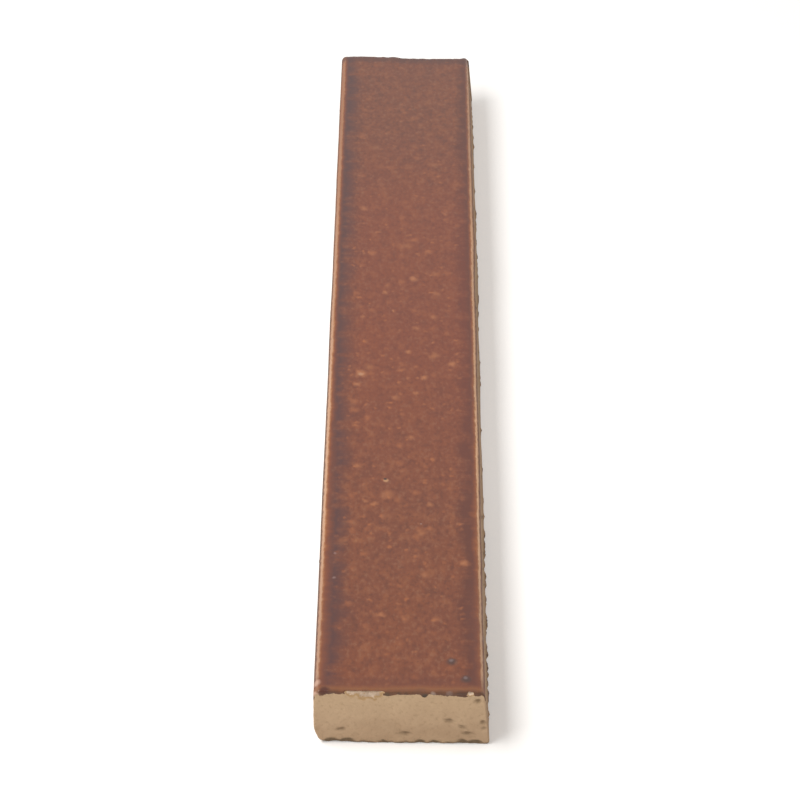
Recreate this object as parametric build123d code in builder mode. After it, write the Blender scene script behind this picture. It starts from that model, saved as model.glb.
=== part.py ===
# Glazed stoneware brick tile in the long Roman format, fired as one piece.
# X runs across the face, Y along the tile, Z up from the bedding face to the glaze.
# The origin is the middle of the bedding face.
import os

from build123d import *

# Driving dimensions in millimetres
length = 295.0  # cut end to cut end, along Y
base_width = 41.4  # across the widest part of the sides, before the edges are rounded
thickness = 16.0  # bedding face to glazed face
left_lean = 0.1  # how far the left side leans in from the base to the glaze
right_lean = 1.6  # the same for the right side
shoulder_radius = 1.7  # roll of the glaze over each long edge
left_arris_width = 1.5  # lower left edge, pressed back across the bedding face
left_arris_height = 4.2  # and up the left side
left_arris_radius = 2.5  # softening of the pressed edge into the bedding face
left_side_radius = 8.0  # softening of the pressed edge into the left side
right_arris_radius = 0.9  # lower right edge
end_arris_radius = 0.6  # worn edge round each cut end

os.makedirs("parts", exist_ok=True)

# Glazed tile: one extruded section, cut square at both ends
with BuildPart() as glazed_tile:
    with BuildSketch(Plane.XZ) as section:
        with BuildLine():
            Polyline(
                (-base_width / 2 + left_arris_width, 0),
                (base_width / 2, 0),
                (base_width / 2 - right_lean, thickness),
                (-base_width / 2 + left_lean, thickness),
                (-base_width / 2, left_arris_height),
                close=True,
            )
        make_face()
        # Each rounding makes new corners, so the next ones are picked from the section as it then is
        fillet(section.vertices().group_by(Axis.Y)[1], left_side_radius)
        fillet(section.vertices().group_by(Axis.Y)[0].sort_by(Axis.X)[0], left_arris_radius)
        fillet(section.vertices().group_by(Axis.Y)[0].sort_by(Axis.X)[-1], right_arris_radius)
        fillet(section.vertices().group_by(Axis.Y)[-1], shoulder_radius)
    extrude(amount=length / 2, both=True)

    cut_ends = glazed_tile.faces().filter_by(Axis.Y)
    fillet(cut_ends.edges(), end_arris_radius)

glazed_tile.part.label = "glazed_tile"
export_step(glazed_tile.part, "parts/glazed_tile.step")
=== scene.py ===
# Glazed stoneware brick tile in the long Roman format, lying glazed face up on a white table.
import math

import bmesh
import bpy
import numpy as np
from mathutils import Matrix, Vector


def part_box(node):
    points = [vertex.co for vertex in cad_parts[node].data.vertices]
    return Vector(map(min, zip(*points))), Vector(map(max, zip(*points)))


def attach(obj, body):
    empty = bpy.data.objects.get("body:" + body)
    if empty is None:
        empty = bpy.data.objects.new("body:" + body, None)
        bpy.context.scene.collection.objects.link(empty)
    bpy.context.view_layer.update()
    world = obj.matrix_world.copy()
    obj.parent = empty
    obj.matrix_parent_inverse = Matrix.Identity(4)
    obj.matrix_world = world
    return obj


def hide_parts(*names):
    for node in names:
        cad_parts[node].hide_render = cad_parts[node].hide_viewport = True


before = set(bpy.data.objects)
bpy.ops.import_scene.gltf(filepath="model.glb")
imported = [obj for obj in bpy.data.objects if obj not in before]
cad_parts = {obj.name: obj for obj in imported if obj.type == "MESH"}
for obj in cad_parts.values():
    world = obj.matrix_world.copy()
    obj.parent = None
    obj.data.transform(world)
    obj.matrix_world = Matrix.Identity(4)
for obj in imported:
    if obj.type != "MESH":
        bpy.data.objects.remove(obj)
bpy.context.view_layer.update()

# The tile is one bar of buff stoneware clay, pushed through a die, cut to length and dipped face down
# in an iron glaze before it is fired. The fired glaze is one with the clay, so the bar is one surface,
# and it keeps the cutter's torn ends, the chips of handling and the beads where the glaze ran.
tile_low, tile_high = (1000 * np.array(corner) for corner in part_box("glazed_tile"))
length = tile_high[1] - tile_low[1]
thickness = tile_high[2] - tile_low[2]

# The section's own sizes in millimetres, before its corners are rounded
half_width = 20.7
left_lean = 0.1
right_lean = 1.6
shoulder_radius = 1.7
left_arris_width = 1.5
left_arris_height = 4.2
left_arris_radius = 2.5
left_side_radius = 8.0
right_arris_radius = 0.9
end_arris_radius = 0.6


def rounded_outline(corners, radii, arc_steps, side_steps):
    """Closed outline of a polygon with rounded corners, walked anticlockwise, with its outward normals.

    The arc at a corner touches both sides at radius / tan(half the corner's angle) from the corner. Its
    centre lies on the bisector, at radius / sin(half the angle). Straight sides join the arcs in equal
    steps. Also returns the number of the first point of each arc and each side, in turn.
    """
    arcs = []
    for i, corner in enumerate(corners):
        back = corners[i - 1] - corner
        ahead = corners[(i + 1) % len(corners)] - corner
        back, ahead = back / np.linalg.norm(back), ahead / np.linalg.norm(ahead)
        half = math.acos(back @ ahead) / 2
        bisector = (back + ahead) / np.linalg.norm(back + ahead)
        centre = corner + bisector * radii[i] / math.sin(half)
        first = corner + back * radii[i] / math.tan(half) - centre
        angle = math.atan2(first[1], first[0]) + (math.pi - 2 * half) * np.linspace(0, 1, arc_steps[i] + 1)
        arcs.append((centre, radii[i], np.stack([np.cos(angle), np.sin(angle)], axis=1)))
    points, normals, starts = [], [], [0]
    for i, (centre, radius, normal) in enumerate(arcs):
        next_centre, next_radius, next_normal = arcs[(i + 1) % len(arcs)]
        arc = centre + radius * normal
        share = np.linspace(0, 1, side_steps[i], endpoint=False)[:, None]
        side = arc[-1] + share * (next_centre + next_radius * next_normal[0] - arc[-1])
        points += [arc[:-1], side]
        normals += [normal[:-1], np.repeat(normal[-1:], side_steps[i], axis=0)]
        starts += [starts[-1] + arc_steps[i], starts[-1] + arc_steps[i] + side_steps[i]]
    return np.concatenate(points), np.concatenate(normals), starts


# Left arris, right arris, right shoulder, left shoulder and the left side's bend, seen from the near end
face_steps = 66
outline, outline_normal, part_start = rounded_outline(
    corners=np.array([
        (-half_width + left_arris_width, 0),
        (half_width, 0),
        (half_width - right_lean, thickness),
        (-half_width + left_lean, thickness),
        (-half_width, left_arris_height),
    ]),
    radii=(left_arris_radius, right_arris_radius, shoulder_radius, shoulder_radius, left_side_radius),
    arc_steps=(5, 5, 10, 10, 6),
    side_steps=(face_steps, 26, face_steps, 18, 5),
)
steps = np.linalg.norm(np.roll(outline, -1, axis=0) - outline, axis=1)
walked = np.concatenate([[0], np.cumsum(steps)[:-1]])
right_rim, left_rim = walked[part_start[5]], walked[part_start[6]]
rim = np.minimum(walked - right_rim, left_rim - walked)

# Each cut end closes on a spine along the middle of its face, where points from above and below meet
spine_share = np.zeros(len(outline))
spine_share[part_start[1]:part_start[2]] = np.arange(face_steps) / face_steps
spine_share[part_start[2]:part_start[5]] = 1
spine_share[part_start[5]:part_start[6]] = 1 - np.arange(face_steps) / face_steps
spine_reach = half_width - thickness / 2
spine = np.stack([spine_reach * (2 * spine_share - 1), np.full(len(outline), thickness / 2)], axis=1)

# The path runs up the near end's face from its spine, over the arris, along the bar and down the far end
end_rings, arris_rings, ring_gap = 20, 5, 0.8
spread = np.sin(np.linspace(0, math.pi / 2, end_rings, endpoint=False))
roll = np.linspace(0, math.pi / 2, arris_rings + 1)
near_plane = -length / 2
arris_y = near_plane + end_arris_radius * (1 - np.cos(roll))
bar_rings = round((length - 2 * end_arris_radius) / ring_gap)
bar_y = np.linspace(arris_y[-1], -arris_y[-1], bar_rings + 1)[1:-1]
ring_y = np.concatenate([
    np.full(end_rings, near_plane),
    arris_y,
    bar_y,
    -arris_y[::-1],
    np.full(end_rings, -near_plane),
])
ring_spread = np.concatenate([spread, np.ones(2 * arris_rings + 2 + len(bar_y)), spread[::-1]])
ring_roll = np.concatenate([
    np.zeros(end_rings),
    roll,
    np.full(len(bar_y), math.pi / 2),
    roll[::-1],
    np.zeros(end_rings),
])
ring_side = np.sin(ring_roll)
ring_inset = end_arris_radius * (1 - ring_side)

rings, around = len(ring_y), len(outline)
inset_outline = outline[None] - ring_inset[:, None, None] * outline_normal[None]
flat = spine[None] + ring_spread[:, None, None] * (inset_outline - spine[None])
surface = np.stack([flat[..., 0], np.broadcast_to(ring_y[:, None], (rings, around)), flat[..., 1]], axis=-1)
normal = np.stack([
    ring_side[:, None] * outline_normal[:, 0],
    np.broadcast_to((np.cos(ring_roll) * np.sign(ring_y))[:, None], (rings, around)),
    ring_side[:, None] * outline_normal[:, 1],
], axis=-1)


def lattice_noise(points, spacing, seed):
    """Smooth noise from -1 to 1 at points in millimetres.

    Each corner of a lattice with the given spacing holds a random value, and inside a cell the eight
    values are blended with the weight 3t^2 - 2t^3 along each axis.
    """
    values = np.random.default_rng(seed).uniform(-1, 1, 8192)
    place = points / np.asarray(spacing, float)
    cell = np.floor(place).astype(np.int64)
    t = place - cell
    t = t * t * (3 - 2 * t)
    total = np.zeros(points.shape[:-1])
    for corner in np.ndindex(2, 2, 2):
        index = cell + corner
        key = (index[..., 0] * 73856093) ^ (index[..., 1] * 19349663) ^ (index[..., 2] * 83492791)
        total += np.prod(np.where(corner, t, 1 - t), axis=-1) * values[key % len(values)]
    return total


def scoop(points, centre, half_sizes):
    """Depth of a bite, from 1 at its centre to 0 where the distance in half sizes, q, is 1: 1 - q^2."""
    q_squared = (((points - np.asarray(centre)) / np.asarray(half_sizes)) ** 2).sum(axis=-1)
    return np.clip(1 - q_squared, 0, 1)


def smooth_step(value, start, end):
    """0 before start and 1 after end, with 3t^2 - 2t^3 between."""
    t = np.clip((value - start) / (end - start), 0, 1)
    return t * t * (3 - 2 * t)


# Sides that wander, a glaze that swells beside its rim, drag marks of the die and a sanded bedding face.
# What is taken off, inward along the surface's normal, is in millimetres.
upward, sideways = np.clip(normal[..., 2], 0, 1), np.abs(normal[..., 0])
downward, endways = np.clip(-normal[..., 2], 0, 1), np.abs(normal[..., 1])
along = surface[..., 1]
wander = lattice_noise(surface, (60, 26, 60), seed=11)
ripple = lattice_noise(surface, (30, 6, 30), seed=12)
right_swell = np.exp(-(((along - 44) / 14) ** 2))
crumbled = np.exp(-(((along + 82) / 11) ** 2)) + np.exp(-(((along + 117) / 15) ** 2))
far_taper = smooth_step(along, 112, 147)
right_side = 0.30 + 0.14 * wander - 0.26 * right_swell + 0.4 * far_taper + 0.16 * crumbled
left_side = 0.12 + 0.08 * wander
drag = lattice_noise(surface, (1.5, 30, 0.7), seed=13)
sand = lattice_noise(surface, (1.3, 1.3, 1.3), seed=14)
undulation = 0.5 + 0.5 * lattice_noise(surface, (22, 22, 22), seed=15)
swell = 0.11 * (1 - np.exp(-(((rim - 3.0) / 2.2) ** 2)))
bare_side = sideways * smooth_step(-rim, 3.5, 6)
inward = sideways * (np.where(normal[..., 0] > 0, right_side, left_side) + 0.05 * ripple)
inward += bare_side * 0.05 * (1 + drag)
inward += upward * (swell + 0.05 * undulation) + downward * 0.07 * (1 + sand)

# Torn clay of the cut ends, with the pits that the cutter pulled out of the near one
grit = lattice_noise(surface, (0.9, 0.9, 0.9), seed=16)
lumps = lattice_noise(surface, (3.4, 3.4, 3.4), seed=17)
torn_clay = endways * smooth_step(endways, 0.6, 1)
inward += torn_clay * (0.05 * (1 + grit) + 0.10 * (1 + lumps))
pit_reach = 1.2
near_pits = (  # across, height, half width, half height, depth
    (-14.2, 4.4, 1.4, 0.7, 0.45),
    (0.5, 3.2, 2.1, 0.65, 0.5),
    (10.9, 7.3, 1.5, 0.8, 0.3),
    (14.1, 5.5, 1.1, 0.8, 0.4),
    (15.4, 3.4, 1.7, 0.7, 0.5),
    (18.8, 6.8, 1.0, 0.8, 0.4),
    (18.9, 5.0, 0.8, 0.6, 0.35),
    (17.4, 13.4, 1.1, 0.8, 0.4),
)
# Dirt and painted shade: darker clay in the pits, the base chips and a band along the base edge
dirt_and_shade = np.zeros((rings, around))
pit_edge = 1 + 0.7 * lattice_noise(surface, (0.8, 0.8, 0.8), seed=26)
for x, z, wide, tall, depth in near_pits:
    bite = scoop(surface, (x, near_plane, z), (wide, pit_reach, tall)) * pit_edge
    inward += depth * bite * endways
    dirt_and_shade = np.maximum(dirt_and_shade, 0.6 * bite * endways)

# Chips along the ends' edges: a direction to bite in and, for each, its place, half width and depth
chipped = np.zeros((rings, around))
bites = np.zeros_like(surface)
chip_draw = np.random.default_rng(18)
top_chips = []
base_chips = [(near_plane, -16.2, 2.6, 0.9), (near_plane, -12.6, 2.2, 0.9), (near_plane, -4.4, 1.0, 0.5)]
base_chips += [(near_plane, 4.2, 1.6, 0.6), (near_plane, 7.6, 1.5, 0.6), (near_plane, 13.8, 1.8, 0.9)]
base_chips += [(near_plane, 17.0, 2.2, 0.7)]
chip_span, chips_an_end = 19, 16
for plane in (near_plane, -near_plane):
    for x in chip_draw.uniform(-chip_span, chip_span, chips_an_end):
        top_chips.append((plane, x, chip_draw.uniform(0.5, 1.6), chip_draw.uniform(0.10, 0.25)))
        base_chips.append((plane, -x, chip_draw.uniform(0.6, 2.2), chip_draw.uniform(0.15, 0.4)))
torn_edge = 1 + 0.6 * lattice_noise(surface, (1.0, 1.0, 1.0), seed=20)
for chips, height, sink, rise in ((top_chips, thickness, 0.6, -0.3), (base_chips, 0, 0.25, 0.05)):
    for plane, x, wide, depth in chips:
        bite = scoop(surface, (x, plane, height), (wide, 1.0 + 0.5 * depth, 0.9 + 1.2 * depth)) * torn_edge
        bites += (depth * bite)[..., None] * np.array([0, -np.sign(plane) * sink, rise])
        # Base chips are darkened, for dirt and painted shade beneath the edge
        if height == 0:
            dirt_and_shade = np.maximum(dirt_and_shade, smooth_step(bite, 0.05, 0.5) * smooth_step(depth, 0.1, 0.5))
flakes = (  # broken off the near end under the glaze: across, half width, lowest height, depth
    (-8.8, 4.9, 11.6, 0.9),
    (15.7, 0.8, 14.3, 0.7),
)
flake_edge = (
    0.7
    + 0.4 * lattice_noise(surface, (2.6, 40, 40), seed=28)
    + 0.2 * lattice_noise(surface, (0.9, 0.9, 0.9), seed=29)
)
for x, wide, lowest, depth in flakes:
    reach = (1 - ((surface[..., 0] - x) / wide) ** 4) * flake_edge
    slope = np.clip((surface[..., 2] - thickness) / (thickness - lowest) + reach, 0, 1)
    slope = np.where((reach > 0) & (along < 0), slope, 0) * smooth_step(endways, 0.3, 0.8)
    bites[..., 1] += depth * slope
    chipped = np.maximum(chipped, slope)
# A ragged band along the lower edge of the ends is darkened, for dirt and painted shade where the tile
# meets the table
base_dirt_and_shade = 0.45 + 0.45 * lattice_noise(surface, (1.8, 40, 40), seed=25)
at_base = smooth_step(base_dirt_and_shade - surface[..., 2], -0.35, 0.35)
dirt_and_shade = np.maximum(dirt_and_shade, at_base * smooth_step(endways, 0.1, 0.5))

# The far end was torn shorter on its right half
far_tear, far_tear_reach = 0.8, 12
far_short = far_tear * smooth_step(surface[..., 0], -4.5, -1.5)
far_short *= smooth_step(along, -near_plane - far_tear_reach, -near_plane)
far_short *= 1 - 0.7 * smooth_step(surface[..., 0], 15.8, 17.2)
bites[..., 1] -= far_short

# Beads of glaze that ran down the sides, and the crumbs along the right lower edge
bead_draw = np.random.default_rng(19)
bead_span, beads_in_row, crumbs_in_cluster = 144, 40, 18
bead_proud, crumb_proud = 0.35, 0.6
no_bead = -9.0
bead = np.zeros((rings, around))
bead_depth = np.full((rings, around), no_bead)
beads = [
    (side, y, bead_draw.uniform(1.2, 12.5), bead_proud)
    for side in (-1, 1)
    for y in bead_draw.uniform(-bead_span, bead_span, beads_in_row)
]
beads += [
    (1, y, bead_draw.uniform(0.9, 2.6), bead_proud)
    for y in bead_draw.uniform(-bead_span, bead_span, beads_in_row)
]
for first, last in ((-93, -70), (-133, -102)):
    beads += [
        (1, y, bead_draw.uniform(0.8, 2.2), crumb_proud)
        for y in bead_draw.uniform(first, last, crumbs_in_cluster)
    ]
for side, y, z, proud in beads:
    reach = bead_draw.uniform(0.55, 1.0)
    tall = reach * bead_draw.uniform(0.8, 1.3)
    bump = scoop(surface, (side * half_width, y, z), (2.5, reach, tall)) * (side * normal[..., 0] > 0.5)
    bead = np.maximum(bead, bump * proud * bead_draw.uniform(0.5, 1.0))
    bead_depth = np.maximum(bead_depth, np.where(bump > 0, 2.0 * bump - 0.6, no_bead))
inward -= bead

# Two blisters that broke the glaze near its right front corner
blisters = ((11.3, -136.5), (14.6, -142.7))
blister_reach, blister_height = 1.1, 0.25
for x, y in blisters:
    bump = scoop(surface, (x, y, thickness), (blister_reach, blister_reach, 3))
    inward -= blister_height * bump ** 2 * upward

shaped = np.clip(surface - inward[..., None] * normal + bites, tile_low, tile_high)

# How far, in millimetres, each point lies above the lower edge of the glaze, on the sides and on the ends
side_run = (
    4.0
    + 0.8 * lattice_noise(surface, (40, 9, 40), seed=21)
    + 0.4 * lattice_noise(surface, (40, 2.4, 40), seed=22)
)
side_run += 3.0 * smooth_step(lattice_noise(surface, (40, 4.5, 40), seed=27), 0.3, 0.95)
end_run = (
    1.0
    + 0.35 * lattice_noise(surface, (2.4, 40, 40), seed=23)
    + 0.25 * lattice_noise(surface, (0.9, 40, 40), seed=24)
)
lip_drips = (  # across, half width, how much further the glaze ran
    (-18.6, 1.0, 0.8),
    (-3.4, 0.8, 0.5),
    (5.0, 0.8, 1.1),
    (13.4, 1.8, 0.5),
)
for x, wide, run in lip_drips:
    end_run += run * scoop(surface, (x, near_plane, thickness), (wide, 1.5, 3))
clear_of_ends, chip_strips = 6, 14
side_cover = rim[None] + side_run
end_cover = end_run + (surface[..., 2] - thickness) * (1 - ring_side[:, None])
end_cover += clear_of_ends * ring_side[:, None] ** 4
cover = np.maximum(np.minimum(side_cover, end_cover), bead_depth)
cover -= chip_strips * smooth_step(chipped, 0.05, 0.3)
drop = np.where(endways > 0.7, surface[..., 2] - thickness, 0)
from_near = np.where(along < 0, drop, 0) + along - near_plane
from_far = np.where(along > 0, drop, 0) - along - near_plane

quads = np.arange(rings * around).reshape(rings, around)
beside = np.roll(quads, -1, axis=1)
faces = np.stack([quads[:-1], quads[1:], beside[1:], beside[:-1]], axis=-1)
tile_mesh = bpy.data.meshes.new("fired_tile")
tile_mesh.from_pydata(shaped.reshape(-1, 3) / 1000, [], faces.reshape(-1, 4))
band_reach, cover_reach = 9, 6
measures = {
    "rim": np.clip(np.broadcast_to(rim, (rings, around)), -band_reach, band_reach),
    "from_near": np.clip(from_near, -band_reach, band_reach),
    "from_far": np.clip(from_far, -band_reach, band_reach),
    "cover": np.clip(cover, -cover_reach, cover_reach),
    "chipped": chipped,
    "dirt_and_shade": dirt_and_shade,
    "flank": ring_side[:, None] * sideways * smooth_step(-rim, 2.0, 3.2),
}
for name, values in measures.items():
    attribute = tile_mesh.attributes.new(name, "FLOAT", "POINT")
    attribute.data.foreach_set("value", np.ascontiguousarray(values, dtype=np.float32).ravel())
merged = bmesh.new()
merged.from_mesh(tile_mesh)
bmesh.ops.remove_doubles(merged, verts=merged.verts, dist=1e-7)
bmesh.ops.recalc_face_normals(merged, faces=merged.faces)
merged.to_mesh(tile_mesh)
merged.free()
tile_mesh.polygons.foreach_set("use_smooth", np.ones(len(tile_mesh.polygons), dtype=bool))
tile = bpy.data.objects.new("fired_tile", tile_mesh)
bpy.context.scene.collection.objects.link(tile)


def linear(hex_colour):
    """Linear RGBA of an sRGB hex colour: c / 12.92 up to 0.04045, else ((c + 0.055) / 1.055) ^ 2.4."""
    shares = [int(hex_colour[i:i + 2], 16) / 255 for i in (0, 2, 4)]
    return (*(c / 12.92 if c <= 0.04045 else ((c + 0.055) / 1.055) ** 2.4 for c in shares), 1.0)


def add_node(tree, kind, inputs=None, **settings):
    """Adds a node with its settings. An input that is a socket is linked, and any other is a constant.

    Inputs go by name or number. A Map Range has 0 for its value, 1 and 2 for the range that comes in and
    3 and 4 for the range that goes out, from 0 to 1 unless given. A colour Mix has 0 for the share, 6 and 7
    for its colours, and 2 for the mixed colour that goes out.
    """
    added = tree.nodes.new(kind)
    for name, value in settings.items():
        setattr(added, name, value)
    for key, value in (inputs or {}).items():
        if isinstance(value, bpy.types.NodeSocket):
            tree.links.new(value, added.inputs[key])
        else:
            added.inputs[key].default_value = value
    return added


# Iron glaze on buff stoneware: a glossy brown glass over sandy clay. The glass is thin and pale on the
# rolled edge, where a painted highlight also lies along the crest, amber beside it and darkest in the
# pooled band further in, and it holds flecks of unmelted ochre. Bare clay is matt, with pits, grains of
# grog and a paler colour where it broke after the firing.
glazed_clay = bpy.data.materials.new("iron_glaze_on_buff_stoneware")
glazed_clay.use_nodes = True
tree = glazed_clay.node_tree
tree.nodes.clear()
# Places in millimetres, and the same drawn out along the tile for patterns that flowed that way
place = add_node(tree, "ShaderNodeTexCoord")
mm = add_node(tree, "ShaderNodeVectorMath", {0: place.outputs["Object"], 1: (1000, 1000, 1000)},
              operation="MULTIPLY").outputs[0]
drawn_out = add_node(tree, "ShaderNodeVectorMath", {0: mm, 1: (1.0, 0.62, 1.0)},
                     operation="MULTIPLY").outputs[0]
measure = {
    name: add_node(tree, "ShaderNodeAttribute", attribute_name=name).outputs["Fac"]
    for name in measures
}


def pattern_scale(size_mm):
    """Scale of a pattern on millimetre coordinates whose features are size_mm across."""
    return 1 / size_mm


cloud = add_node(tree, "ShaderNodeTexNoise",
                 {"Vector": drawn_out, "Scale": pattern_scale(11), "Detail": 3.0}).outputs["Fac"]
mottle = add_node(tree, "ShaderNodeTexNoise",
                  {"Vector": drawn_out, "Scale": pattern_scale(2.6), "Detail": 2.0})
grain = add_node(tree, "ShaderNodeTexNoise",
                 {"Vector": drawn_out, "Scale": pattern_scale(0.95), "Detail": 2.0})

# Glaze body: two browns drift over the face, with a finer mottle on top
glaze_shade = add_node(tree, "ShaderNodeMapRange", {0: cloud, 1: 0.35, 2: 0.65, 3: 0.0, 4: 1.0},
                       interpolation_type="SMOOTHSTEP").outputs[0]
glaze_body = add_node(tree, "ShaderNodeMix", {0: glaze_shade, 6: linear("763B1E"), 7: linear("7A3D1C")},
                      data_type="RGBA").outputs[2]
for pattern, start, end, mottle_hex, strength in (
    (mottle.outputs["Fac"], 0.48, 0.78, "965932", 0.44),
    (mottle.outputs["Fac"], 0.50, 0.22, "602D14", 0.5),
    (grain.outputs["Fac"], 0.50, 0.78, "8E5C3E", 0.55),
    (grain.outputs["Fac"], 0.50, 0.24, "5A2812", 0.52),
):
    mottle_share = add_node(tree, "ShaderNodeMapRange", {0: pattern, 1: start, 2: end, 3: 0.0, 4: strength},
                            interpolation_type="SMOOTHSTEP").outputs[0]
    glaze_body = add_node(tree, "ShaderNodeMix", {0: mottle_share, 6: glaze_body, 7: linear(mottle_hex)},
                          data_type="RGBA").outputs[2]

# Bands beside the long edges, by distance from the start of the rolled shoulder
rim_wobble = add_node(tree, "ShaderNodeMath", {0: grain.outputs["Fac"], 1: 0.8, 2: -0.4},
                      operation="MULTIPLY_ADD").outputs[0]
inner = add_node(tree, "ShaderNodeMapRange", {0: measure["rim"], 1: 0.3, 2: 3.0, 3: 0.0, 4: 5.5}).outputs[0]
drift = add_node(tree, "ShaderNodeMath", {0: cloud, 1: -0.5}, operation="ADD").outputs[0]
rim_wobble = add_node(tree, "ShaderNodeMath", {0: drift, 1: inner, 2: rim_wobble},
                      operation="MULTIPLY_ADD").outputs[0]
crosswise = add_node(tree, "ShaderNodeVectorMath", {0: mm, 1: (0.15, 1.0, 0.15)},
                     operation="MULTIPLY").outputs[0]
fingers = add_node(tree, "ShaderNodeTexNoise",
                   {"Vector": crosswise, "Scale": pattern_scale(3.2), "Detail": 3.0}).outputs["Fac"]
fingers = add_node(tree, "ShaderNodeMath", {0: fingers, 1: -0.5}, operation="ADD").outputs[0]
finger_reach = add_node(tree, "ShaderNodeMapRange",
                        {0: measure["rim"], 1: -0.9, 2: 1.4, 3: 0.0, 4: 4.0}).outputs[0]
rim_wobble = add_node(tree, "ShaderNodeMath", {0: fingers, 1: finger_reach, 2: rim_wobble},
                      operation="MULTIPLY_ADD").outputs[0]
# On the far half the pools lie closer to the rims
axes = add_node(tree, "ShaderNodeSeparateXYZ", {0: mm})
far_half = add_node(tree, "ShaderNodeMapRange",
                    {0: axes.outputs["Y"], 1: -80.0, 2: 10.0, 3: 0.0, 4: 1.1}).outputs[0]
pool_zone = add_node(tree, "ShaderNodeMapRange", {0: measure["rim"], 1: -0.3, 2: 0.8}).outputs[0]
rim_wobble = add_node(tree, "ShaderNodeMath", {0: far_half, 1: pool_zone, 2: rim_wobble},
                      operation="MULTIPLY_ADD").outputs[0]
rim_place = add_node(tree, "ShaderNodeMath", {0: measure["rim"], 1: rim_wobble}, operation="ADD").outputs[0]
rim_ramp_start, rim_ramp_end = -4.0, 8.0
rim_share = add_node(tree, "ShaderNodeMapRange",
                     {0: rim_place, 1: rim_ramp_start, 2: rim_ramp_end}).outputs[0]
# Each stop: millimetres inward from the shoulder, colour and how much of it
# The palest stops, on the crest of each rolled edge, are partly the thin glaze's own pale colour and partly
# a painted highlight
right_stops = (
    (-4.0, "4C3427", 0.9),
    (-2.4, "6E4024", 0.9),
    (-1.75, "6E4024", 0.9),
    (-1.25, "D8AA82", 0.95),
    (-0.8, "E4B58C", 0.95),
    (-0.5, "A5642F", 0.9),
    (-0.1, "86481F", 0.85),
    (0.5, "6C3318", 0.74),
    (1.0, "5C2814", 0.88),
    (2.3, "5C2814", 0.86),
    (4.8, "602A14", 0.0),
)
left_stops = (
    (-4.0, "4A3629", 0.9),
    (-1.8, "624838", 0.9),
    (-1.55, "8A6650", 0.92),
    (-1.2, "CA9F7F", 0.95),
    (-0.8, "CA9F7F", 0.95),
    (-0.5, "A86C3E", 0.92),
    (-0.2, "8E5026", 0.9),
    (0.1, "82441F", 0.85),
    (0.5, "74391F", 0.75),
    (0.9, "64311F", 0.85),
    (1.9, "502A26", 0.95),
    (3.4, "582D25", 0.78),
    (6.4, "5E2F22", 0.0),
)


def fill_ramp(ramp, stops, start, end):
    """Sets a colour ramp's stops: a place from start to end, a hex colour, and its share as alpha."""
    while len(ramp.elements) < len(stops):
        ramp.elements.new(0.5)
    for element, (at, hex_colour, share) in zip(ramp.elements, stops):
        element.position = (at - start) / (end - start)
        element.color = (*linear(hex_colour)[:3], share)


# The pools have gaps, where fingers of thinner glaze cross them
gap = add_node(tree, "ShaderNodeMapRange", {0: fingers, 1: -0.02, 2: 0.14, 3: 0.0, 4: -0.5}).outputs[0]
unbroken = add_node(tree, "ShaderNodeMath", {0: pool_zone, 1: gap, 2: 1.0},
                    operation="MULTIPLY_ADD").outputs[0]
for stops, edge in ((right_stops, 0.01), (left_stops, -0.01)):
    bands = add_node(tree, "ShaderNodeValToRGB", {0: rim_share})
    fill_ramp(bands.color_ramp, stops, rim_ramp_start, rim_ramp_end)
    this_side = add_node(tree, "ShaderNodeMapRange", {0: axes.outputs["X"], 2: edge}).outputs[0]
    share = add_node(tree, "ShaderNodeMath", {0: bands.outputs["Alpha"], 1: this_side},
                     operation="MULTIPLY").outputs[0]
    share = add_node(tree, "ShaderNodeMath", {0: share, 1: unbroken}, operation="MULTIPLY").outputs[0]
    glaze_body = add_node(tree, "ShaderNodeMix", {0: share, 6: glaze_body, 7: bands.outputs["Color"]},
                          data_type="RGBA").outputs[2]

# Towards the far end both rims are less pale, the left one most
off_crest = add_node(tree, "ShaderNodeMath", {0: rim_place, 1: 1.25}, operation="ADD").outputs[0]
off_crest = add_node(tree, "ShaderNodeMath", {0: off_crest}, operation="ABSOLUTE").outputs[0]
crest = add_node(tree, "ShaderNodeMapRange", {0: off_crest, 1: 0.8, 2: 0.5, 3: 0.0, 4: 0.8}).outputs[0]
far_share = add_node(tree, "ShaderNodeMapRange", {0: axes.outputs["Y"], 1: -40.0, 2: 110.0}).outputs[0]
left_share = add_node(tree, "ShaderNodeMapRange",
                      {0: axes.outputs["X"], 1: -1.0, 2: 1.0, 3: 1.0, 4: 0.5}).outputs[0]
far_rim = add_node(tree, "ShaderNodeMath", {0: far_share, 1: left_share}, operation="MULTIPLY").outputs[0]
far_rim = add_node(tree, "ShaderNodeMath", {0: far_rim, 1: crest}, operation="MULTIPLY").outputs[0]
glaze_colour = add_node(tree, "ShaderNodeMix", {0: far_rim, 6: glaze_body, 7: linear("925A3A")},
                        data_type="RGBA").outputs[2]

# Towards the near end both rims are duller and closer to the brown of the face
off_rim = add_node(tree, "ShaderNodeMath", {0: rim_place, 1: 0.2}, operation="ADD").outputs[0]
off_rim = add_node(tree, "ShaderNodeMath", {0: off_rim}, operation="ABSOLUTE").outputs[0]
rim_zone = add_node(tree, "ShaderNodeMapRange", {0: off_rim, 1: 2.4, 2: 1.4}).outputs[0]
near_share = add_node(tree, "ShaderNodeMapRange",
                      {0: axes.outputs["Y"], 1: -85.0, 2: -125.0, 3: 0.0, 4: 0.32}).outputs[0]
near_dull = add_node(tree, "ShaderNodeMath", {0: rim_zone, 1: near_share}, operation="MULTIPLY").outputs[0]
glaze_colour = add_node(tree, "ShaderNodeMix", {0: near_dull, 6: glaze_colour, 7: linear("66382A")},
                        data_type="RGBA").outputs[2]

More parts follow.
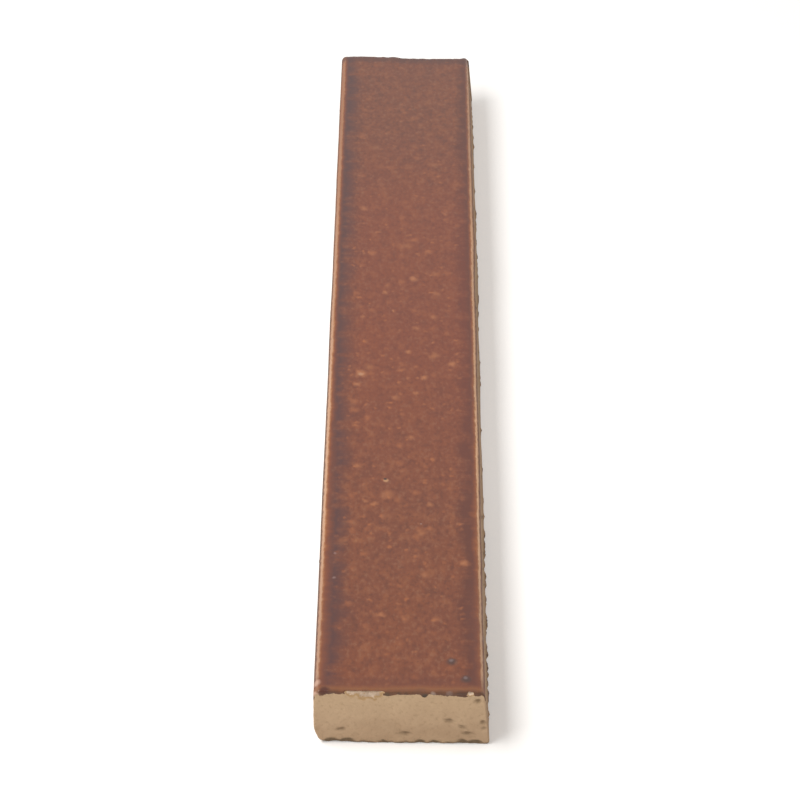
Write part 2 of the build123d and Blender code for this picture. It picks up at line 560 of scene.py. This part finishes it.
# Bands beside the cut ends: amber at the near end, where the glaze was wiped thin, and dark at the far one
end_ramp_start, end_ramp_end = -2.0, 6.0
near_stops = (
    (-2.0, "5A3820", 0.8),
    (-0.2, "664024", 0.8),
    (0.5, "784828", 0.85),
    (1.2, "87522A", 0.85),
    (1.9, "7E4624", 0.7),
    (2.6, "68331E", 0.5),
    (4.2, "66321E", 0.42),
    (6.0, "66321E", 0.0),
)
far_stops = (
    (-2.0, "4E2C1E", 0.8),
    (1.0, "4E2A20", 0.7),
    (2.8, "562C22", 0.6),
    (4.6, "562C22", 0.0),
)
end_wobble = add_node(tree, "ShaderNodeMath", {0: mottle.outputs["Fac"], 1: 1.4, 2: -0.7},
                      operation="MULTIPLY_ADD").outputs[0]
rolled_under = add_node(tree, "ShaderNodeMapRange",
                        {0: axes.outputs["X"], 1: -6.0, 2: 2.0, 3: 0.0, 4: -0.4}).outputs[0]
end_wobble = add_node(tree, "ShaderNodeMath", {0: end_wobble, 1: rolled_under}, operation="ADD").outputs[0]
for end, stops in (("from_near", near_stops), ("from_far", far_stops)):
    end_place = add_node(tree, "ShaderNodeMath", {0: measure[end], 1: end_wobble},
                         operation="ADD").outputs[0]
    end_share = add_node(tree, "ShaderNodeMapRange",
                         {0: end_place, 1: end_ramp_start, 2: end_ramp_end}).outputs[0]
    end_bands = add_node(tree, "ShaderNodeValToRGB", {0: end_share})
    fill_ramp(end_bands.color_ramp, stops, end_ramp_start, end_ramp_end)
    band_share, band_colour = end_bands.outputs["Alpha"], end_bands.outputs["Color"]
    glaze_colour = add_node(tree, "ShaderNodeMix", {0: band_share, 6: glaze_colour, 7: band_colour},
                            data_type="RGBA").outputs[2]

# The middle of the face is a warmer brown, but for the left pool
warmth = add_node(tree, "ShaderNodeMapRange",
                  {0: measure["rim"], 1: 0.0, 2: 1.5, 3: 0.0, 4: 0.2}).outputs[0]
for axis, start, end in (("Y", -85.0, -10.0), ("Y", 105.0, 55.0), ("X", -18.0, -12.0)):
    inside = add_node(tree, "ShaderNodeMapRange", {0: axes.outputs[axis], 1: start, 2: end}).outputs[0]
    warmth = add_node(tree, "ShaderNodeMath", {0: warmth, 1: inside}, operation="MULTIPLY").outputs[0]
glaze_colour = add_node(tree, "ShaderNodeMix", {0: warmth, 6: glaze_colour, 7: linear("8F3000")},
                        data_type="RGBA").outputs[2]

# Ochre flecks of three sizes and small dark specks: cells on a lattice, of which some hold a fleck of
# ragged outline, each as strong as its own draw
fine_tear, wide_tear = 0.9, 2.6
ragged = add_node(tree, "ShaderNodeVectorMath", {0: grain.outputs["Color"], 1: [fine_tear] * 3, 2: mm},
                  operation="MULTIPLY_ADD").outputs[0]
torn = add_node(tree, "ShaderNodeVectorMath", {0: mottle.outputs["Color"], 1: [wide_tear] * 3, 2: ragged},
                operation="MULTIPLY_ADD").outputs[0]
open_face = add_node(tree, "ShaderNodeMapRange",
                     {0: measure["rim"], 1: 1.5, 2: 4.5, 3: 0.15, 4: 1.0}).outputs[0]
# Towards both ends more of the ochre has melted away
for few, many in ((-145.0, -112.0), (130.0, 40.0)):
    unmelted = add_node(tree, "ShaderNodeMapRange",
                        {0: axes.outputs["Y"], 1: few, 2: many, 3: 0.45, 4: 1.0}).outputs[0]
    open_face = add_node(tree, "ShaderNodeMath", {0: open_face, 1: unmelted},
                         operation="MULTIPLY").outputs[0]
for cell_mm, reach, held, fleck_hex, strength in (
    (2.2, 0.40, 0.5, "A86234", 0.9),
    (4.0, 0.40, 0.6, "AA6438", 0.7),
    (9.0, 0.24, 0.75, "B27042", 0.55),
    (3.1, 0.16, 0.4, "45201A", 0.55),
):
    cells = add_node(tree, "ShaderNodeTexVoronoi", {"Vector": torn, "Scale": pattern_scale(cell_mm)})
    near_cell = add_node(tree, "ShaderNodeMapRange",
                         {0: cells.outputs["Distance"], 1: reach, 2: 0.0, 3: 0.0, 4: strength},
                         interpolation_type="SMOOTHSTEP").outputs[0]
    chance = add_node(tree, "ShaderNodeSeparateColor", {0: cells.outputs["Color"]}).outputs[0]
    amount = add_node(tree, "ShaderNodeMapRange", {0: chance, 2: held, 3: 1.0, 4: 0.0}).outputs[0]
    fleck = add_node(tree, "ShaderNodeMath", {0: near_cell, 1: amount}, operation="MULTIPLY").outputs[0]
    fleck = add_node(tree, "ShaderNodeMath", {0: fleck, 1: open_face}, operation="MULTIPLY").outputs[0]
    glaze_colour = add_node(tree, "ShaderNodeMix", {0: fleck, 6: glaze_colour, 7: linear(fleck_hex)},
                            data_type="RGBA").outputs[2]

# The flecks that stand out are soft clouds of ochre, each in its own place. A tear moves a pattern by half
# its reach on average, which is taken off again.
ochre_flecks = (  # across, along, radius, strength
    (-12.2, 59.5, 1.7, 0.6),
    (1.6, 23.3, 1.7, 0.85),
    (-5.7, 16.7, 1.2, 0.75),
    (8.2, 16.6, 1.4, 0.45),
    (-3.5, 7.6, 1.1, 0.8),
    (-11.8, 5.0, 1.1, 0.6),
    (7.6, 4.9, 1.6, 0.5),
    (2.8, -0.4, 1.7, 0.55),
    (0.9, -11.2, 1.4, 0.8),
    (12.3, -17.0, 1.8, 0.8),
    (-11.8, -21.9, 2.4, 0.95),
    (4.7, -23.1, 1.6, 0.85),
    (-12.9, -26.6, 1.6, 0.8),
    (2.8, -30.3, 1.3, 0.55),
    (-2.5, -32.4, 1.5, 0.5),
    (1.4, -49.5, 1.7, 0.6),
    (-11.7, -61.6, 1.7, 0.65),
    (-4.2, -73.6, 2.6, 0.5),
    (-7.2, -77.3, 1.3, 0.7),
    (-9.7, -76.2, 1.2, 0.6),
    (5.9, -77.7, 1.4, 0.7),
    (-14.8, -91.7, 1.6, 0.45),
    (4.4, -88.7, 1.8, 0.5),
    (4.9, -104.9, 2.2, 0.45),
    (-5.3, -119.7, 1.4, 0.7),
    (0.3, -121.5, 1.6, 0.5),
    (7.8, -121.4, 1.6, 0.5),
    (14.6, -100.6, 2.0, 0.75),
)
torn_in_place = add_node(tree, "ShaderNodeVectorMath", {0: torn, 1: [(fine_tear + wide_tear) / 2] * 3},
                         operation="SUBTRACT").outputs[0]
for x, y, reach, strength in ochre_flecks:
    away = add_node(tree, "ShaderNodeVectorMath", {0: torn_in_place, 1: (x, y, thickness)},
                    operation="DISTANCE").outputs["Value"]
    share = add_node(tree, "ShaderNodeMapRange", {0: away, 1: reach, 2: 0.0, 3: 0.0, 4: strength},
                     interpolation_type="SMOOTHSTEP").outputs[0]
    glaze_colour = add_node(tree, "ShaderNodeMix", {0: share, 6: glaze_colour, 7: linear("B27044")},
                            data_type="RGBA").outputs[2]

# Single marks: a pale fleck's heart, the pinhole, whose near-black heart is painted shade, with its ring,
# pale specks, the near corner, partly a painted highlight, a nib on the left side, the near lip's drips
# with two painted reflections, and the dark burst blisters with painted highlights
marks = [  # across, along, height, radius, colour, strength
    (-11.8, -21.9, thickness, 1.0, "CCA280", 0.4),
    (-4.6, -67.7, thickness, 1.0, "C69468", 0.75),
    # Painted shade: the pinhole's near-black heart stands in for the shade in its hollow
    (-4.8, -67.1, thickness, 0.55, "1E0F08", 1.0),
    (-16.7, -97.1, thickness, 0.6, "9A7A72", 0.5),
    (-16.7, -106.4, thickness, 0.6, "9A7A72", 0.55),
    (4.2, -85.1, thickness, 0.35, "B09A90", 0.8),
    (-18.0, near_plane + 0.7, 15.7, 1.7, "4E1E0C", 0.9),
    # Partly painted highlight: the pale left rim and its highlight carried over the near-left corner
    (-20.0, near_plane + 3.4, 15.6, 1.5, "E2BCA6", 0.5),
    (-19.9, near_plane + 0.2, 14.7, 1.0, "DDB59E", 0.85),
    (-20.5, -12.1, 14.8, 0.7, "3A2A22", 0.9),
    (-3.6, near_plane, 15.0, 1.0, "4E4028", 0.7),
    (5.2, near_plane, 14.8, 1.0, "3A2C1C", 0.9),
    # Painted reflections: two pale grey glints on the near lip
    (7.0, near_plane, 15.5, 0.8, "AA9488", 0.65),
    (10.7, near_plane, 15.6, 1.1, "8A746A", 0.5),
    (13.5, near_plane, 15.2, 1.7, "4A2814", 0.6),
    (18.2, near_plane, 15.3, 1.4, "4A2A18", 0.6),
    (-0.9, near_plane, 15.2, 0.9, "4C2E18", 0.6),
    (0.9, near_plane, 15.3, 0.7, "4C2E18", 0.6),
    (-15.4, near_plane, 15.2, 0.8, "6A3E1E", 0.6),
]
for x, y in blisters:
    top = thickness + 0.2
    # A dark ring, and off its centre a grey painted highlight
    marks += [(x, y, top, 1.8, "48302A", 0.85), (x - 0.1, y + 0.4, top, 0.8, "7E6A68", 0.7)]
mark_tear = 0.6
mark_place = add_node(tree, "ShaderNodeVectorMath",
                      {0: grain.outputs["Color"], 1: (mark_tear, mark_tear, 0.0), 2: mm},
                      operation="MULTIPLY_ADD").outputs[0]
mark_place = add_node(tree, "ShaderNodeVectorMath", {0: mark_place, 1: (mark_tear / 2, mark_tear / 2, 0.0)},
                      operation="SUBTRACT").outputs[0]
for x, y, z, reach, mark_hex, strength in marks:
    away = add_node(tree, "ShaderNodeVectorMath", {0: mark_place, 1: (x, y, z)},
                    operation="DISTANCE").outputs["Value"]
    share = add_node(tree, "ShaderNodeMapRange", {0: away, 1: reach, 2: reach * 0.3, 3: 0.0, 4: strength},
                     interpolation_type="SMOOTHSTEP").outputs[0]
    glaze_colour = add_node(tree, "ShaderNodeMix", {0: share, 6: glaze_colour, 7: linear(mark_hex)},
                            data_type="RGBA").outputs[2]

# Buff clay: two shades in patches, paler higher up, with darker sand, stains and spots on the sides, dirt
# and painted shade in the pits, the base chips and along the base edge, and a tan rim and a cream face
# where it is freshly broken
clay_patch = add_node(tree, "ShaderNodeTexNoise",
                      {"Vector": mm, "Scale": pattern_scale(5), "Detail": 5.0}).outputs["Fac"]
clay_shade = add_node(tree, "ShaderNodeMapRange", {0: clay_patch, 1: 0.35, 2: 0.65}).outputs[0]
clay_colour = add_node(tree, "ShaderNodeMix", {0: clay_shade, 6: linear("BC9E7F"), 7: linear("C8AA8A")},
                       data_type="RGBA").outputs[2]
# Paler higher up, from 5 to 13 mm above the table
paler_upward = add_node(tree, "ShaderNodeMapRange",
                 {0: axes.outputs["Z"], 1: 5.0, 2: 13.0, 3: 0.0, 4: 0.6}).outputs[0]
sand_share = add_node(tree, "ShaderNodeMapRange",
                      {0: grain.outputs["Fac"], 1: 0.3, 2: 0.45, 3: 0.25, 4: 0.0}).outputs[0]
pulled = add_node(tree, "ShaderNodeVectorMath", {0: mm, 1: (1.0, 0.09, 1.0)},
                  operation="MULTIPLY").outputs[0]
streaks = add_node(tree, "ShaderNodeTexNoise",
                   {"Vector": pulled, "Scale": pattern_scale(1.6), "Detail": 3.0}).outputs["Fac"]
stain = add_node(tree, "ShaderNodeMapRange", {0: streaks, 1: 0.35, 2: 0.65, 3: 0.36, 4: 0.58}).outputs[0]
drip_stain = add_node(tree, "ShaderNodeMapRange",
                      {0: measure["cover"], 1: -2.5, 2: 0.0, 3: 0.0, 4: 0.45}).outputs[0]
stain = add_node(tree, "ShaderNodeMath", {0: stain, 1: drip_stain}, operation="MAXIMUM").outputs[0]
stain = add_node(tree, "ShaderNodeMath", {0: stain, 1: measure["flank"]}, operation="MULTIPLY").outputs[0]
clusters = add_node(tree, "ShaderNodeMapRange", {0: cloud, 1: 0.40, 2: 0.66, 3: 0.02, 4: 0.34}).outputs[0]
side_spots = 0.0
for cell_mm, reach in ((1.3, 0.36), (3.1, 0.2)):
    cells = add_node(tree, "ShaderNodeTexVoronoi", {"Vector": torn, "Scale": pattern_scale(cell_mm)})
    near_cell = add_node(tree, "ShaderNodeMapRange",
                         {0: cells.outputs["Distance"], 1: reach, 2: reach * 0.4},
                         interpolation_type="SMOOTHSTEP").outputs[0]
    chance = add_node(tree, "ShaderNodeSeparateColor", {0: cells.outputs["Color"]}).outputs[1]
    chosen = add_node(tree, "ShaderNodeMath", {0: chance, 1: clusters}, operation="LESS_THAN").outputs[0]
    spot = add_node(tree, "ShaderNodeMath", {0: near_cell, 1: chosen}, operation="MULTIPLY").outputs[0]
    side_spots = add_node(tree, "ShaderNodeMath", {0: spot, 1: side_spots}, operation="MAXIMUM").outputs[0]
side_spots = add_node(tree, "ShaderNodeMath", {0: side_spots, 1: measure["flank"]},
                      operation="MULTIPLY").outputs[0]
spot_share = add_node(tree, "ShaderNodeMath", {0: side_spots, 1: 0.75}, operation="MULTIPLY").outputs[0]
# Darker clay for dirt and painted shade in the pits, the base chips and along the base edge
dirt_and_shade_share = add_node(tree, "ShaderNodeMath", {0: measure["dirt_and_shade"], 1: 0.8},
                        operation="MULTIPLY").outputs[0]
chip_rough = add_node(tree, "ShaderNodeMath", {0: grain.outputs["Fac"], 1: 2.4, 2: -0.2},
                      operation="MULTIPLY_ADD").outputs[0]
chip_place = add_node(tree, "ShaderNodeMath", {0: measure["chipped"], 1: chip_rough},
                      operation="MULTIPLY").outputs[0]
chip_rim = add_node(tree, "ShaderNodeMapRange",
                    {0: chip_place, 1: 0.02, 2: 0.12, 3: 0.0, 4: 0.7}).outputs[0]
chip_face = add_node(tree, "ShaderNodeMapRange", {0: chip_place, 1: 0.16, 2: 0.3}).outputs[0]
chip_tone = add_node(tree, "ShaderNodeMapRange", {0: mottle.outputs["Fac"], 1: 0.4, 2: 0.6}).outputs[0]
chip_colour = add_node(tree, "ShaderNodeMix", {0: chip_tone, 6: linear("BDA48C"), 7: linear("EAD2BA")},
                       data_type="RGBA").outputs[2]
clay_layers = (
    (paler_upward, linear("D6B894")),
    (sand_share, linear("9A7C5E")),
    (stain, linear("8A6648")),
    (spot_share, linear("5C3E29")),
    (dirt_and_shade_share, linear("5C4A33")),
    (chip_rim, linear("B08A58")),
    (chip_face, chip_colour),
)
for share, layer_colour in clay_layers:
    clay_colour = add_node(tree, "ShaderNodeMix", {0: share, 6: clay_colour, 7: layer_colour},
                           data_type="RGBA").outputs[2]

# The glaze stops on a ragged line, as fine as the clay's grain
ragged_edge = add_node(tree, "ShaderNodeMath", {0: grain.outputs["Fac"], 1: 0.9, 2: -0.45},
                       operation="MULTIPLY_ADD").outputs[0]
edge_place = add_node(tree, "ShaderNodeMath", {0: measure["cover"], 1: ragged_edge},
                      operation="ADD").outputs[0]
glazed = add_node(tree, "ShaderNodeMapRange", {0: edge_place, 1: -0.1, 2: 0.1},
                  interpolation_type="SMOOTHSTEP").outputs[0]
tile_colour = add_node(tree, "ShaderNodeMix", {0: glazed, 6: clay_colour, 7: glaze_colour},
                       data_type="RGBA").outputs[2]

# Height in millimetres: a gently rippled glass, about level with the rough clay
glaze_height = add_node(tree, "ShaderNodeMath", {0: mottle.outputs["Fac"], 1: 0.02, 2: 0.3},
                        operation="MULTIPLY_ADD").outputs[0]
clay_lumps = add_node(tree, "ShaderNodeMath", {0: clay_patch, 1: 0.5}, operation="MULTIPLY").outputs[0]
clay_height = add_node(tree, "ShaderNodeMath", {0: grain.outputs["Fac"], 1: 0.12, 2: clay_lumps},
                       operation="MULTIPLY_ADD").outputs[0]
clay_height = add_node(tree, "ShaderNodeMath", {0: side_spots, 1: 0.15, 2: clay_height},
                       operation="MULTIPLY_ADD").outputs[0]
height = add_node(tree, "ShaderNodeMix", {0: glazed, 2: clay_height, 3: glaze_height}).outputs[0]
relief = add_node(tree, "ShaderNodeBump", {"Strength": 1.0, "Distance": 0.001, "Height": height}).outputs[0]
gloss = add_node(tree, "ShaderNodeMapRange",
                 {0: mottle.outputs["Fac"], 1: 0.3, 2: 0.7, 3: 0.14, 4: 0.24}).outputs[0]
thin = add_node(tree, "ShaderNodeMath", {0: measure["rim"], 1: measure["from_near"]},
                operation="MINIMUM").outputs[0]
dry = add_node(tree, "ShaderNodeMapRange", {0: thin, 1: 0.5, 2: -2.2, 3: 0.0, 4: 0.5},
               interpolation_type="SMOOTHSTEP").outputs[0]
gloss = add_node(tree, "ShaderNodeMath", {0: gloss, 1: dry}, operation="ADD").outputs[0]
roughness = add_node(tree, "ShaderNodeMix", {0: glazed, 2: 0.9, 3: gloss}).outputs[0]
skin = add_node(tree, "ShaderNodeBsdfPrincipled",
                {"Base Color": tile_colour, "Roughness": roughness, "Normal": relief, "IOR": 1.5})
add_node(tree, "ShaderNodeOutputMaterial", {"Surface": skin.outputs[0]})
tile_mesh.materials.append(glazed_clay)
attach(tile, "root")
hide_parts("glazed_tile")

# The table is a sheet of plain white card, large enough for its edge to stay out of view.
# It shows as white to the camera and keeps the tile's soft shadow, with painted shade where its glow is
# lowered in front of the tile.
table_reach = 3.0
table_mesh = bpy.data.meshes.new("table")
table_mesh.from_pydata([(-table_reach, -table_reach, 0), (table_reach, -table_reach, 0),
                        (table_reach, table_reach, 0), (-table_reach, table_reach, 0)], [], [(0, 1, 2, 3)])
table = bpy.data.objects.new("table", table_mesh)
bpy.context.scene.collection.objects.link(table)
card = bpy.data.materials.new("white_card")
card.use_nodes = True
tree = card.node_tree
tree.nodes.clear()


def backdrop_rays(tree):
    """1 for the rays that show the backdrop: those from the camera, and those mirrored or let through."""
    rays = add_node(tree, "ShaderNodeLightPath")
    seen = add_node(tree, "ShaderNodeMath",
                    {0: rays.outputs["Is Camera Ray"], 1: rays.outputs["Is Glossy Ray"]},
                    operation="MAXIMUM").outputs[0]
    return add_node(tree, "ShaderNodeMath", {0: seen, 1: rays.outputs["Is Transmission Ray"]},
                    operation="MAXIMUM").outputs[0]


paper = add_node(tree, "ShaderNodeBsdfDiffuse", {"Color": linear("F2F1EF")})
table_place = add_node(tree, "ShaderNodeTexCoord").outputs["Object"]
from_tile = add_node(tree, "ShaderNodeVectorMath", {0: table_place}, operation="LENGTH").outputs["Value"]
glow_level = add_node(tree, "ShaderNodeMapRange",
                      {0: from_tile, 1: 0.3, 2: 0.8, 3: 0.34, 4: 0.8}).outputs[0]
table_axes = add_node(tree, "ShaderNodeSeparateXYZ", {0: table_place})
# Painted shade: the table's glow drops in front of the tile's near end, which deepens the shadow there
painted_front_shade = add_node(tree, "ShaderNodeMapRange",
                     {0: table_axes.outputs["Y"], 1: -0.05, 2: -0.15, 3: 0.0, 4: 0.09}).outputs[0]
glow_level = add_node(tree, "ShaderNodeMath", {0: glow_level, 1: painted_front_shade},
                      operation="SUBTRACT").outputs[0]
glow_strength = add_node(tree, "ShaderNodeMath", {0: backdrop_rays(tree), 1: glow_level},
                         operation="MULTIPLY").outputs[0]
glow = add_node(tree, "ShaderNodeEmission", {"Color": linear("FFFFFF"), "Strength": glow_strength})
both = add_node(tree, "ShaderNodeAddShader", {0: paper.outputs[0], 1: glow.outputs[0]})
add_node(tree, "ShaderNodeOutputMaterial", {"Surface": both.outputs[0]})
table_mesh.materials.append(card)

# Light: a large soft box hangs high on the left, a little towards the camera, in a dim white room.
# The room is full white to the camera and in reflections.
room_level = 0.44
room = bpy.data.worlds.new("white_room")
bpy.context.scene.world = room
room.use_nodes = True
tree = room.node_tree
tree.nodes.clear()
shown = backdrop_rays(tree)
level = add_node(tree, "ShaderNodeMapRange", {0: shown, 3: room_level, 4: 1.0}).outputs[0]
tone = add_node(tree, "ShaderNodeMix", {0: shown, 6: linear("FFF8F1"), 7: linear("FFFFFF")},
                data_type="RGBA").outputs[2]
white = add_node(tree, "ShaderNodeBackground", {"Color": tone, "Strength": level})
add_node(tree, "ShaderNodeOutputWorld", {"Surface": white.outputs[0]})

soft_box = bpy.data.lights.new("soft_box", "AREA")
soft_box.shape = "RECTANGLE"
soft_box.size, soft_box.size_y = 0.29, 0.56
soft_box.energy = 4.55
lamp_place = (-0.368, -0.18, 0.66)
lamp_lean, lamp_pitch = -30, 13
lamp = bpy.data.objects.new("soft_box", soft_box)
lamp.matrix_world = (
    Matrix.Translation(lamp_place)
    @ Matrix.Rotation(math.radians(lamp_lean), 4, "Y")
    @ Matrix.Rotation(math.radians(lamp_pitch), 4, "X")
)
bpy.context.scene.collection.objects.link(lamp)

# Camera: a long lens in front of the near end, looking down on the tile. It stands where the tile's own
# outline in the photo puts it.
camera_data = bpy.data.cameras.new("camera")
camera_data.lens = 134.6
camera = bpy.data.objects.new("camera", camera_data)
camera_place = (-0.0019, -0.6629, 0.4727)
look_down, turn, tilt = 35.965, -0.05, 0.73
camera.matrix_world = (
    Matrix.Translation(camera_place)
    @ Matrix.Rotation(math.radians(turn), 4, "Z")
    @ Matrix.Rotation(math.radians(90 - look_down), 4, "X")
    @ Matrix.Rotation(math.radians(tilt), 4, "Z")
)
bpy.context.scene.collection.objects.link(camera)
bpy.context.scene.camera = camera
bpy.context.scene.view_settings.view_transform = "Standard"
